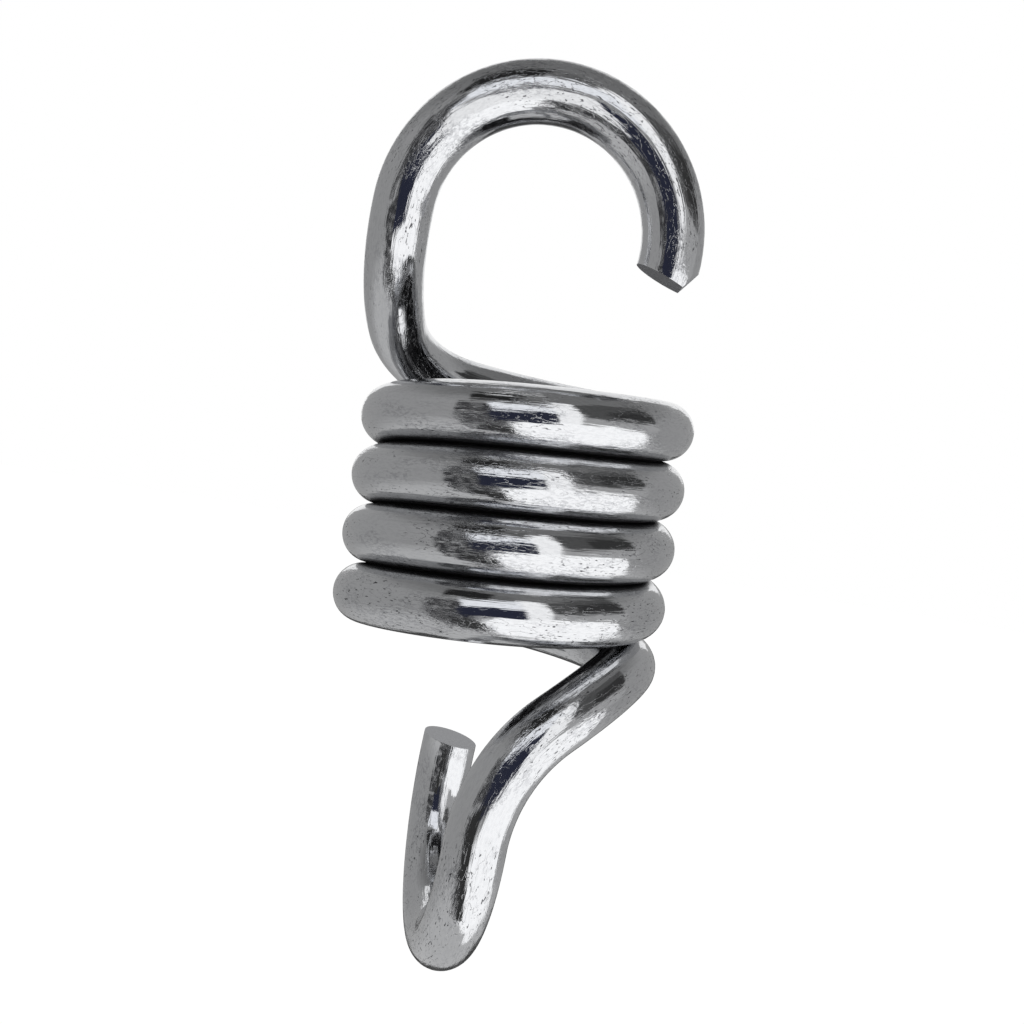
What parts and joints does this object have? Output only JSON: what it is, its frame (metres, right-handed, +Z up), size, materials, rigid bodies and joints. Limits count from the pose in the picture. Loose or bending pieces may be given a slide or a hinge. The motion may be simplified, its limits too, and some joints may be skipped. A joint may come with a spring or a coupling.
{
  "type": "hammock chair spring",
  "caption": "Close-wound extension spring of round steel wire with an open round hook at each end, hung between a ceiling mount and a hanging chair.",
  "frame": {"origin": "the seat of the upper hook, the point on the inside of its crown where it hangs on what holds it", "axes": "+Z up along the coil's axis, +X from the upper hook's back towards its open mouth, so the upper hook's round is seen along Y"},
  "size_m": [0.0585, 0.0568, 0.1488],
  "materials": {
    "zinc_plated_steel": "bright zinc plating over drawn wire, with fine lengthwise drawing marks and small pits"
  },
  "bodies": {
    "root": {"spring_wire": "zinc_plated_steel"}
  },
  "joints": []
}
